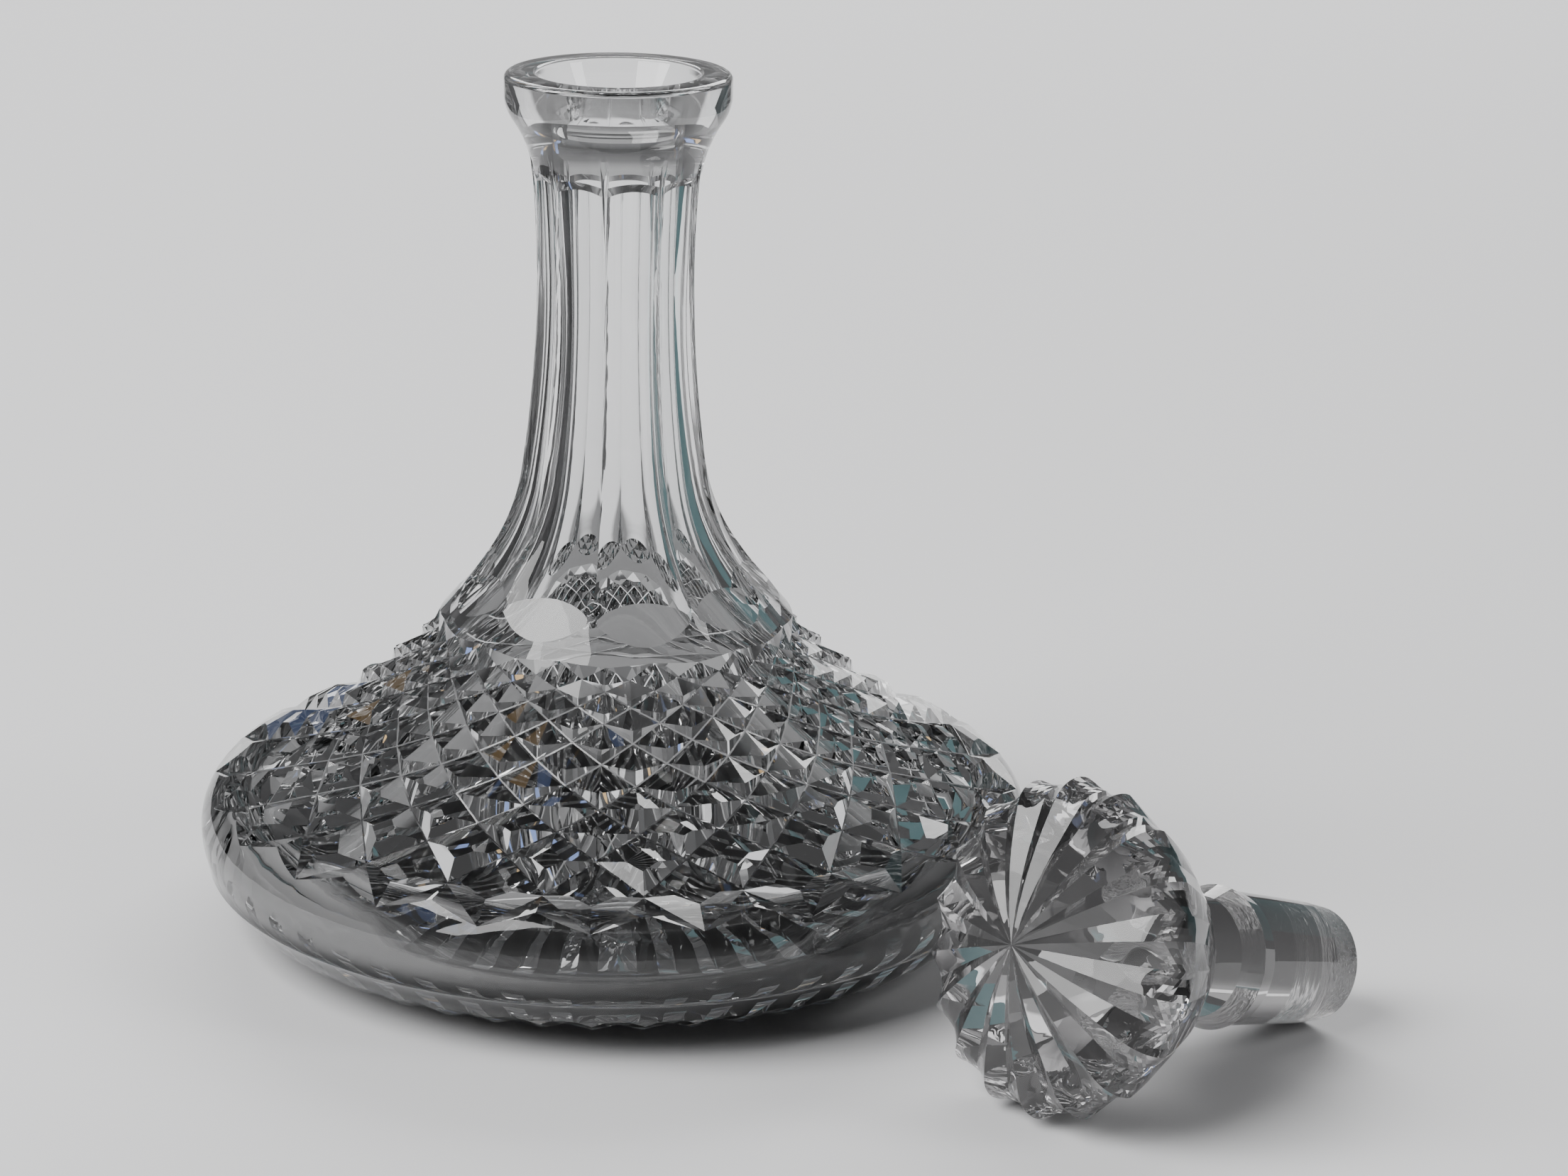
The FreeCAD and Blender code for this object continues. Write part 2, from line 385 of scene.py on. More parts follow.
@dataclass
class Diamonds:
    """The net of V cuts round the shoulder, in two crossing families of spirals."""

    columns: int = 24
    turn: float = -3.25
    heights: tuple[float, ...] = (
        29.9, 36.2, 40.9, 44.8, 48.4, 51.9, 55.4, 58.8, 62.1, 64.8, 67.4, 69.3, 71.0
    )
    depth: float = 2.4
    top_depth: float = 0.7
    half_width: float = 4.1
    point_reach: float = 1.12
    flat_lift: float = 0.62
    web_height: float = 33.0
    top_web_height: float = 71.7
    rim_step: float = 1.875
    groove_floor: float = 0.22
    lengths: list[float] = field(default_factory=list)

    def __post_init__(self) -> None:
        """Finds each row on the outline."""
        self.lengths = [outside_at(height) for height in self.heights]

    def spot(self, half_column: int, row: int) -> Solid:
        """The bottom of the cuts where they cross, or the tip where they run out.

        Args:
            half_column: Where it is round the bottle.
            row: Which of the heights it has.

        Returns:
            The point.
        """
        last = len(self.heights) - 1
        degrees = self.turn + half_column * 180.0 / self.columns
        if row == last and half_column % 4:
            return surface(outside_at(self.top_web_height), degrees)
        depths = {0: 0.0, last - 1: self.depth * self.top_depth, last: 0.0}
        return surface(self.lengths[row], degrees, depths.get(row, self.depth))

    def build(self) -> BMesh:
        """Makes the net: a grid's faces are poked, paired into diamonds, and raised to points or flats.

        Returns:
            The net, open at both rims.
        """
        top = len(self.heights) - 1
        mesh = bmesh.new()
        column_id = mesh.verts.layers.int.new("half_column")
        row_id = mesh.verts.layers.int.new("row")
        bmesh.ops.create_grid(mesh, x_segments=self.columns, y_segments=top // 2, size=0.5)
        bmesh.ops.poke(mesh, faces=mesh.faces)
        for vert in mesh.verts:
            vert[column_id] = round((vert.co.x + 0.5) * self.columns * 2) % (2 * self.columns)
            vert[row_id] = round((vert.co.y + 0.5) * top)
            vert.co = self.spot(vert[column_id], vert[row_id])
        bmesh.ops.remove_doubles(mesh, verts=mesh.verts, dist=WELD)
        inner = [
            edge for edge in mesh.edges
            if len(edge.link_faces) == 2
            and all(vert[row_id] % 2 == 0 for vert in edge.verts)
            and not any(vert[row_id] == top and vert[column_id] % 4 for vert in edge.verts)
        ]
        bmesh.ops.dissolve_edges(mesh, edges=inner, use_verts=False)
        self._web(mesh, row_id)
        grooves = [
            edge for edge in mesh.edges
            if len(edge.link_faces) == 2 and all(0 < vert[row_id] < top - 1 for vert in edge.verts)
        ]
        self._raise_cells(mesh, [face for face in mesh.faces if len(face.verts) == 4])
        grooves = [edge for edge in grooves if edge.is_valid]
        joints = list(dict.fromkeys(vert for edge in grooves for vert in edge.verts))
        bmesh.ops.bevel(mesh, geom=grooves + joints, offset=self.groove_floor, offset_type="OFFSET",
                        segments=1, profile=0.5, affect="EDGES", material=-1, clamp_overlap=True)
        self._split_rims(mesh)
        return mesh

    def _web(self, mesh: BMesh, row_id: BMLayerItem) -> None:
        """Opens the plain points between the lowest tips, where the band below carries on upwards.

        Args:
            mesh: The net.
            row_id: Where each point's row is kept.
        """
        def on_rim(face: BMFace) -> bool:
            """Whether a face has two of the lowest tips."""
            return sum(vert[row_id] == 0 for vert in face.verts) == 2

        low = [face for face in mesh.faces if len(face.verts) == 3 and on_rim(face)]
        result = bmesh.ops.poke(mesh, faces=low)
        for vert in result["verts"]:
            vert.co = surface(outside_at(self.web_height), turn_of(vert.co))
            vert[row_id] = -1
        bmesh.ops.delete(mesh, geom=[face for face in result["faces"] if on_rim(face)], context="FACES_ONLY")
        bmesh.ops.delete(mesh, geom=[edge for edge in mesh.edges if not edge.link_faces], context="EDGES")

    def _raise_cells(self, mesh: BMesh, cells: list[BMFace]) -> None:
        """Gives each diamond its slopes, to a point on the small ones and to a flat on the others.

        Args:
            mesh: The net.
            cells: Its diamonds.
        """
        slope = self.depth / self.half_width
        for cell in cells:
            reach = cell.calc_area() / (cell.calc_perimeter() / 2)
            if reach < self.half_width * self.point_reach:
                middle = cell.calc_center_median()
                below = max(0.0, self.depth - reach * slope)
                tip = surface(outside_at(middle.z), turn_of(middle), below)
                for vert in bmesh.ops.poke(mesh, faces=[cell])["verts"]:
                    vert.co = tip
                continue
            bmesh.ops.inset_individual(mesh, faces=[cell], thickness=self.half_width, use_even_offset=True)
            for vert in cell.verts:
                vert.co = surface(outside_at(vert.co.z + self.depth * self.flat_lift), turn_of(vert.co))

    def low_rim(self, half_column: float) -> float:
        """The height of the net's lower rim, between a tip and the plain point beside it."""
        return self.heights[0] + (self.web_height - self.heights[0]) * abs(math.remainder(half_column, 2.0))

    def high_rim(self, half_column: float) -> float:
        """The height of the net's upper rim, between a peak and the plain point beside it."""
        rise = self.top_web_height - self.heights[-1]
        return self.heights[-1] + rise * abs(math.remainder(half_column, 4.0)) / 2

    def _split_rims(self, mesh: BMesh) -> None:
        """Divides the net's two rims so that they follow the round of the bottle.

        Args:
            mesh: The net.
        """
        half = 180.0 / self.columns
        parting = self.heights[3]
        rims = {True: [], False: []}
        for edge in mesh.edges:
            if len(edge.link_faces) == 1:
                rims[edge.verts[0].co.z < parting].append(edge)
        for low, height, longest in ((True, self.low_rim, half), (False, self.high_rim, 2 * half)):
            bmesh.ops.subdivide_edges(mesh, edges=rims[low], cuts=round(longest / self.rim_step) - 1)
            for vert in {vert for edge in mesh.edges if len(edge.link_faces) == 1 for vert in edge.verts}:
                if (vert.co.z < parting) == low:
                    degrees = round((turn_of(vert.co) - self.turn) / self.rim_step) * self.rim_step
                    vert.co = surface(outside_at(height(degrees / half)), self.turn + degrees)


@dataclass
class Foot:
    """The underside with its star, the belly, and the plain band up to the diamonds."""

    rays: int = 48
    ray_slope: float = 0.038
    ray_lift: float = 0.28
    ray_ease: float = 0.8
    ray_end_height: float = 8.6
    ray_rim_height: float = 6.2
    columns: int = 8
    star_rows: int = 26
    belly_step: float = 3.0
    rim_pull: int = 4
    bead_row: int = 4
    bead_height: float = 0.4

    def build(self, diamonds: Diamonds) -> BMesh:
        """Makes one diamond's width of the foot, with two rays, and repeats it.

        Args:
            diamonds: The net that the band meets.

        Returns:
            The foot, open at the diamonds.
        """
        ray_end = OUTSIDE.find(self.ray_end_height, "keel", "belly")
        ray_rim = OUTSIDE.find(self.ray_rim_height, "keel", "belly")
        belly = OUTSIDE.steps(ray_end, diamonds.lengths[0], self.belly_step)
        width = 360.0 / diamonds.columns
        ray_width = 360.0 / self.rays

        def border(degrees: float) -> tuple[float, float]:
            """The share of the way to a ray's edge, and the length of its rounded end there."""
            off = abs(math.remainder(degrees, ray_width)) / (ray_width / 2)
            return off, ray_rim + (ray_end - ray_rim) * math.sqrt(max(0.0, 1 - off * off))

        def ray_point(share: float, degrees: float) -> Solid:
            """A point on the two slopes of a ray.

            Args:
                share: Nothing at the rounded end, one in the middle of the foot.
                degrees: Angle from the middle of the first ray.

            Returns:
                The point.
            """
            off, end = border(degrees)
            if share == 0.0:
                return surface(end, degrees)
            valley_length = ray_end * (1 - share)
            radius, _ = OUTSIDE.at(valley_length)
            bite = self.ray_slope * radius * min(1.0, share / self.ray_lift) ** self.ray_ease
            nearest = round(degrees / ray_width) * ray_width
            side = math.copysign(ray_width / 2, math.remainder(degrees, ray_width) or 1.0)
            valley = surface(valley_length, nearest, bite)
            return blend(valley, surface(ray_rim * (1 - share), nearest + side), off)

        def place(column: int, row: int) -> Solid:
            """The point for a grid line: the star from its middle outwards, then the belly."""
            degrees = column / self.columns * width
            if row == 0:
                return 0.0, 0.0, OUTSIDE.at(0.0)[1]
            if row <= self.star_rows:
                x, y, z = ray_point(1.0 - row / self.star_rows, degrees - ray_width / 2)
                turned = math.radians(diamonds.turn + ray_width / 2)
                sine, cosine = math.sin(turned), math.cos(turned)
                return x * cosine - y * sine, x * sine + y * cosine, z
            level = row - self.star_rows
            toward = (belly[level] - belly[0]) / (belly[-1] - belly[0])
            _, end = border(degrees - ray_width / 2)
            start = belly[level] + (end - belly[0]) * max(0.0, 1.0 - level / self.bead_row)
            rim = outside_at(diamonds.low_rim(degrees * diamonds.columns / 180.0))
            stand = self.bead_height if level == self.bead_row else 0.0
            length = start + (rim - belly[-1]) * toward ** self.rim_pull
            return surface(length, diamonds.turn + degrees, -stand)

        mesh = mapped_grid(self.columns, self.star_rows + len(belly) - 1, place)
        ring_of(mesh, diamonds.columns)
        return mesh


@dataclass
class Neck:
    """The flutes, the collar and lip, and the whole inside of the bottle."""

    flutes: int = 9
    turn: float = 10.8
    columns: int = 20
    start_height: float = 72.6
    tongue_height: float = 73.4
    tongue_radius: float = 38.6
    exit_slope: float = 1.22
    opening_height: float = 72.0
    opening_rise: float = 8.0
    opening_width: float = 0.62
    top_radius: float = 17.3
    top_height: float = 172.6
    top_slope: float = 1.1
    highest_start: float = 81.0
    highest_crease: float = 84.0
    end_between: tuple[float, float] = (175.0, 150.0)
    ledge: float = 179.0
    web_rows: int = 3
    exit_rows: int = 3
    flute_rows: int = 44
    collar_rows: int = 6
    inner_step: float = 6.0
    hollow: float = 0.012

    def facet(self, height: float) -> float:
        """How far the flat facet at a flute's foot is from the axis."""
        return self.tongue_radius - self.exit_slope * (height - self.tongue_height)

    def floor(self, height: float, aside: float) -> float:
        """How far a flute's floor is from the axis.

        Args:
            height: Where it is up the neck.
            aside: Distance to the side of the flute's middle.

        Returns:
            The distance.
        """
        radius, _ = OUTSIDE.at(outside_at(height))
        opened = min(1.0, max(0.0, (height - self.opening_height) / self.opening_rise))
        share = self.opening_width + (1.0 - self.opening_width) * opened
        angle = math.radians(180.0 / self.flutes * share)
        fluted = radius * math.cos(angle) + self.hollow * (aside * aside - (radius * math.sin(angle)) ** 2)
        return max(fluted, self.facet(height), self.top_radius + self.top_slope * (height - self.top_height))

    def floor_radius(self, height: float, degrees: float) -> float:
        """The radius at which a line from the axis meets a flute's floor.

        Args:
            height: Where it is up the neck.
            degrees: The line's angle from the flute's middle.

        Returns:
            The radius.
        """
        angle = math.radians(degrees)
        radius = self.floor(height, 0.0) / math.cos(angle)
        for _ in range(4):
            radius = self.floor(height, radius * math.sin(angle)) / math.cos(angle)
        return radius

    def meets(self, degrees: float, outer: float, inner: float) -> float:
        """The height at which a flute's floor leaves the glass.

        Args:
            degrees: Angle from the flute's middle.
            outer: A height past the flute's end.
            inner: A height in the flute.

        Returns:
            The height.
        """
        def cut(height: float) -> bool:
            """Whether the floor is under the outside."""
            return self.floor_radius(height, degrees) < OUTSIDE.at(outside_at(height))[0] - CUT_GAP

        return boundary(outer, inner, cut)

    def crease(self, degrees: float, low: float) -> float:
        """The height at which the facet at a flute's foot gives way to the flute.

        Args:
            degrees: Angle from the flute's middle.
            low: The height at which the facet starts.

        Returns:
            The height.
        """
        def fluted(height: float) -> bool:
            """Whether the floor is outside the facet."""
            distance = self.floor_radius(height, degrees) * math.cos(math.radians(degrees))
            return distance > self.facet(height) + CREASE_GAP

        return boundary(low, self.highest_crease, fluted)

    def build(self) -> BMesh:
        """Makes one flute's width of the bottle: up from the diamonds, over the lip and down inside.

        Returns:
            The neck and the inside, open at the diamonds.
        """
        width = 360.0 / self.flutes
        angles = [-width / 2 + width * column / self.columns for column in range(self.columns + 1)]
        start = [self.meets(angle, self.tongue_height - 0.5, self.highest_start) for angle in angles]
        crease = [max(low, self.crease(angle, low)) for angle, low in zip(angles, start)]
        end = [self.meets(angle, *self.end_between) for angle in angles]
        above = OUTSIDE.steps(outside_at(self.ledge), OUTSIDE.mark["floor_middle"], self.inner_step)
        flute_start = self.web_rows + self.exit_rows
        flute_end = flute_start + self.flute_rows
        collar_end = flute_end + self.collar_rows

        def place(column: int, row: int) -> Solid:
            """The point for a grid line: web, facet, flute, collar, and then the lip and the inside."""
            angle, turned = angles[column], angles[column] + self.turn
            low, fold, high = start[column], crease[column], end[column]
            if row <= self.web_rows:
                height = self.start_height + (low - self.start_height) * row / self.web_rows
                return surface(outside_at(height), turned)
            if row < flute_end:
                if row <= flute_start:
                    height = low + (fold - low) * (row - self.web_rows) / self.exit_rows
                else:
                    height = fold + (high - fold) * ((row - flute_start) / self.flute_rows)
                outside, _ = OUTSIDE.at(outside_at(height))
                return polar(min(self.floor_radius(height, angle), outside), turned, height)
            if row <= collar_end:
                height = high + (self.ledge - high) * (row - flute_end) / self.collar_rows
                return surface(outside_at(height), turned)
            radius, height = OUTSIDE.at(above[row - collar_end])
            return polar(radius, turned, height)

        mesh = mapped_grid(self.columns, collar_end + len(above) - 1, place)
        ring_of(mesh, self.flutes)
        return mesh


@dataclass
class Decanter:
    """The bottle as one closed piece of glass."""

    diamonds: Diamonds = field(default_factory=Diamonds)
    foot: Foot = field(default_factory=Foot)
    neck: Neck = field(default_factory=Neck)
    foot_weld: float = 0.02
    gap_margins: tuple[float, float] = (1.0, 0.5)

    def build(self, materials: list[Material]) -> Object:
        """Makes the bottle, bridging the gap between the diamonds and the neck.

        Args:
            materials: Materials by finish.

        Returns:
            The bottle's object, riding on its body.
        """
        mesh = self.diamonds.build()
        join(mesh, self.foot.build(self.diamonds))
        bmesh.ops.remove_doubles(mesh, verts=mesh.verts, dist=self.foot_weld)
        join(mesh, self.neck.build())
        below, over = self.gap_margins
        rims = open_edges(mesh, self.diamonds.heights[-1] - below, self.neck.start_height + over)
        bmesh.ops.bridge_loops(mesh, edges=rims)
        piece = finish_piece(mesh, "decanter_glass", materials)
        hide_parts("decanter")
        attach(piece, "decanter")
        return piece


# ---- the stopper
STOPPER_OUTLINE = Outline(
    {
        "end_middle": (0.0, 0.0), "end_edge": (11.9, 0.0), "end_corner": (12.5, 0.6),
        "bevel_top": (13.4, 8.0), "plug_top": (14.5, 29.5), "bead": (15.5, 33.6), "bead_top": (12.9, 38.2),
        "waist": (12.5, 45.7), "nape": (19.6, 53.6), "cheek": (28.9, 66.0), "rim_foot": (35.5, 77.9),
        "rim_top": (35.5, 78.9), "brow": (30.7, 86.4), "crown": (0.0, 94.0),
    },
    {"end_edge", "nape", "cheek", "rim_top", "brow"},
)


@dataclass
class Stopper:
    """The stopper as one closed piece of glass: ground plug, bead, waist and star-cut head."""

    arms: int = 18
    columns: int = 8
    arm_slope: float = 0.078
    arm_lift: float = 0.6
    arm_ease: float = 0.7
    arm_end_height: float = 62.5
    cusp_height: float = 69.5
    facet_rows: int = 8
    arm_rows: int = 40
    plug_step: float = 5.0
    rest: tuple[float, float] = (152.7, -64.8)
    rest_yaw: float = 216.6
    rest_roll: float = 10.0

    def on_facet(self, length: float, degrees: float) -> Solid:
        """A point on one of the flat facets between waist and rim.

        Args:
            length: How far along the outline.
            degrees: Angle from the facet's middle.

        Returns:
            The point.
        """
        radius, height = STOPPER_OUTLINE.at(length)
        middle = radius * math.cos(math.pi / self.arms)
        return polar(middle / math.cos(math.radians(degrees)), degrees, height)

    def build(self, materials: list[Material]) -> Object:
        """Makes the stopper and lays it down where the frame has it.

        Args:
            materials: Materials by finish.

        Returns:
            The stopper's object, riding on its body.
        """
        line = STOPPER_OUTLINE
        half = 180.0 / self.arms
        angles = [-half + 2 * half * column / self.columns for column in range(self.columns + 1)]
        waist = line.mark["waist"]
        plug = line.steps(0.0, waist, self.plug_step)
        plug_rows = len(plug) - 1
        arm_end = line.find(self.arm_end_height, "waist", "rim_foot")
        cusp = line.find(self.cusp_height, "waist", "rim_foot")
        crown = line.mark["crown"]

        def border(degrees: float) -> float:
            """Where an arm's rounded end meets the facet below it."""
            off = abs(degrees) / half
            return cusp - (cusp - arm_end) * math.sqrt(max(0.0, 1 - off * off))

        def place(column: int, row: int) -> Solid:
            """The point for a grid line: the plug, the bead, the facet, and then the arm."""
            degrees = angles[column]
            if row < plug_rows:
                return line.point(plug[row], degrees)
            row -= plug_rows
            if row <= self.facet_rows:
                part = row / self.facet_rows
                return self.on_facet(waist + (border(degrees) - waist) * part, degrees)
            share = (row - self.facet_rows) / self.arm_rows
            if share >= 1.0:
                return 0.0, 0.0, line.at(crown)[1]
            valley_length = arm_end + (crown - arm_end) * share
            radius, _ = line.at(valley_length)
            bite = self.arm_slope * radius * min(1.0, share / self.arm_lift) ** self.arm_ease
            ridge = line.point(cusp + (crown - cusp) * share, math.copysign(half, degrees or 1.0))
            return blend(line.point(valley_length, 0.0, bite), ridge, abs(degrees) / half)

        def polish(row: int) -> Polish:
            """Satin on the bevelled end of the plug."""
            if row >= plug_rows:
                return Polish.CLEAR
            middle = (plug[row] + plug[row + 1]) / 2
            return Polish.SATIN if middle < line.mark["bevel_top"] else Polish.CLEAR

        mesh = mapped_grid(self.columns, plug_rows + self.facet_rows + self.arm_rows, place, polish)
        ring_of(mesh, self.arms)
        piece = finish_piece(mesh, "stopper_glass", materials, self.lying())
        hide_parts("stopper")
        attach(piece, "stopper")
        return piece

    def lying(self) -> Matrix:
        """The place of the stopper on its side, on its head's rim and its plug's end.

        Returns:
            The place, in millimetres.
        """
        end_radius, end_height = STOPPER_OUTLINE.at(STOPPER_OUTLINE.mark["end_corner"])
        rim_radius, rim_height = STOPPER_OUTLINE.at(STOPPER_OUTLINE.mark["rim_foot"])
        slope = math.atan2(rim_radius - end_radius, rim_height - end_height)
        turned = (
            Matrix.Rotation(math.radians(self.rest_yaw), 4, "Z")
            @ Matrix.Rotation(math.pi / 2 - slope, 4, "Y")
            @ Matrix.Rotation(math.radians(self.rest_roll), 4, "Z")
        )
        lift = end_radius * math.cos(slope) - end_height * math.sin(slope)
        return Matrix.Translation((*self.rest, lift)) @ turned


# ---- finishes
MIX_INPUTS = (0, 6, 7)  # the share and the two colours, among sockets of the same names
MIX_RESULT = 2

Feed = NodeSocket | float | tuple[float, ...]
def set_inputs(node: Node, values: dict[str, float | tuple[float, ...]]) -> None:
    """Sets some of a node's own sockets."""
    for name, value in values.items():
        node.inputs[name].default_value = value


def feed(tree: NodeTree, socket: NodeSocket, value: Feed) -> None:
    """Links a socket to another node, or gives it a plain value.

    Args:
        tree: The nodes.
        socket: The socket to feed.
        value: Another node's socket, or the value.
    """
    if isinstance(value, NodeSocket):
        tree.links.new(value, socket)
    else:
        socket.default_value = value


def arithmetic(tree: NodeTree, operation: str, *values: Feed) -> NodeSocket:
    """Works out one sum.

    Args:
        tree: The nodes.
        operation: What is done.
        *values: The two values.

    Returns:
        The result.
    """
    node = tree.nodes.new("ShaderNodeMath")
    node.operation = operation
    for socket, value in zip(node.inputs, values):
        feed(tree, socket, value)
    return node.outputs["Value"]


def mixed(tree: NodeTree, *values: Feed) -> NodeSocket:
    """Mixes two colours.

    Args:
        tree: The nodes.
        *values: The second colour's share, then the two colours.

    Returns:
        The mix.
    """
    node = tree.nodes.new("ShaderNodeMix")
    node.data_type = "RGBA"
    for index, value in zip(MIX_INPUTS, values):
        feed(tree, node.inputs[index], value)
    return node.outputs[MIX_RESULT]


def hand_polish_group() -> NodeTree:
    """The faint marks of hand cutting and use: a slow waviness and a few fine hairlines.

    Returns:
        A node group that gives a height for a bump and a roughness.
    """
    group = bpy.data.node_groups.new("hand_polish", "ShaderNodeTree")
    face = group.interface
    defaults = {"Wave Scale": 60.0, "Line Scale": 900.0, "Smoothest": 0.0, "Roughest": 0.02}
    for name, default in defaults.items():
        socket = face.new_socket(name=name, in_out="INPUT", socket_type="NodeSocketFloat")
        socket.default_value = default
    for name in ("Height", "Roughness"):
        face.new_socket(name=name, in_out="OUTPUT", socket_type="NodeSocketFloat")
    nodes, links = group.nodes, group.links
    inlet, outlet = nodes.new("NodeGroupInput"), nodes.new("NodeGroupOutput")
    place = nodes.new("ShaderNodeTexCoord")
    wave = nodes.new("ShaderNodeTexNoise")
    hairs = nodes.new("ShaderNodeTexNoise")
    set_inputs(wave, {"Detail": 2.0})
    set_inputs(hairs, {"Detail": 4.0})
    stretch = nodes.new("ShaderNodeMapping")
    set_inputs(stretch, {"Scale": (1.0, 1.0, 0.06)})
    links.new(place.outputs["Object"], wave.inputs["Vector"])
    links.new(place.outputs["Object"], stretch.inputs["Vector"])
    links.new(stretch.outputs["Vector"], hairs.inputs["Vector"])
    links.new(inlet.outputs["Wave Scale"], wave.inputs["Scale"])
    links.new(inlet.outputs["Line Scale"], hairs.inputs["Scale"])
    spread = nodes.new("ShaderNodeMapRange")
    set_inputs(spread, {"From Min": 0.55, "From Max": 0.8})
    links.new(hairs.outputs["Fac"], spread.inputs["Value"])
    links.new(inlet.outputs["Smoothest"], spread.inputs["To Min"])
    links.new(inlet.outputs["Roughest"], spread.inputs["To Max"])
    links.new(spread.outputs["Result"], outlet.inputs["Roughness"])
    links.new(wave.outputs["Fac"], outlet.inputs["Height"])
    return group


@dataclass(frozen=True)
class Crystal:
    """One finish of the lead crystal."""

    name: str
    tint: tuple[float, float, float] = (0.93, 0.934, 0.936)
    smoothest: float = 0.0
    roughest: float = 0.012
    bump: float = 0.02
    wave_scale: float = 55.0
    line_scale: float = 700.0
    index: float = 1.545

    def material(self, polish: NodeTree) -> Material:
        """Makes the material.

        Args:
            polish: The node group of marks.

        Returns:
            The material.
        """
        material = bpy.data.materials.new(self.name)
        material.use_nodes = True
        nodes, links = material.node_tree.nodes, material.node_tree.links
        nodes.clear()
        out = nodes.new("ShaderNodeOutputMaterial")
        glass = nodes.new("ShaderNodeBsdfPrincipled")
        set_inputs(glass, {"Base Color": (*self.tint, 1.0), "IOR": self.index})
        set_inputs(glass, {"Transmission Weight": 1.0, "Metallic": 0.0})
        marks = nodes.new("ShaderNodeGroup")
        marks.node_tree = polish
        set_inputs(marks, {"Wave Scale": self.wave_scale, "Line Scale": self.line_scale})
        set_inputs(marks, {"Smoothest": self.smoothest, "Roughest": self.roughest})
        bump = nodes.new("ShaderNodeBump")
        set_inputs(bump, {"Strength": self.bump, "Distance": MM})
        links.new(marks.outputs["Height"], bump.inputs["Height"])
        links.new(marks.outputs["Roughness"], glass.inputs["Roughness"])
        links.new(bump.outputs["Normal"], glass.inputs["Normal"])
        links.new(glass.outputs["BSDF"], out.inputs["Surface"])
        return material


CUT_CRYSTAL = Crystal("cut_crystal", tint=(0.95, 0.953, 0.955))
# The stopper's crystal is tinted darker, and a little pinker, than the bottle's.
STOPPER_CRYSTAL = Crystal("stopper_crystal", tint=(0.86, 0.848, 0.852))
GROUND_CRYSTAL = Crystal(
    "ground_crystal", tint=(1.0, 1.0, 1.0), smoothest=0.2, roughest=0.36, bump=0.35,
    wave_scale=900.0, line_scale=2500.0,
)


# ---- the room
@dataclass(frozen=True)
class Softbox:
    """One large soft light. A white one lights the set, and a coloured one only shows in the glass."""

    name: str
    place: Solid
    aim: Solid
    width: float
    height: float
    power: float
    color: tuple[float, float, float] = (1.0, 1.0, 1.0)
    in_glass: bool = False

    def light(self) -> None:
        """Puts the light in the room."""
        lamp = bpy.data.lights.new(self.name, "AREA")
        lamp.shape = "RECTANGLE"
        lamp.size, lamp.size_y = self.width, self.height
        lamp.energy = self.power
        lamp.color = self.color
        holder = bpy.data.objects.new(self.name, lamp)
        toward = Vector(self.aim) - Vector(self.place)
        turn = toward.to_track_quat("-Z", "Y").to_matrix().to_4x4()
        holder.matrix_world = Matrix.Translation(self.place) @ turn
        holder.visible_transmission = self.in_glass
        holder.visible_diffuse = min(self.color) == 1.0
        bpy.context.collection.objects.link(holder)


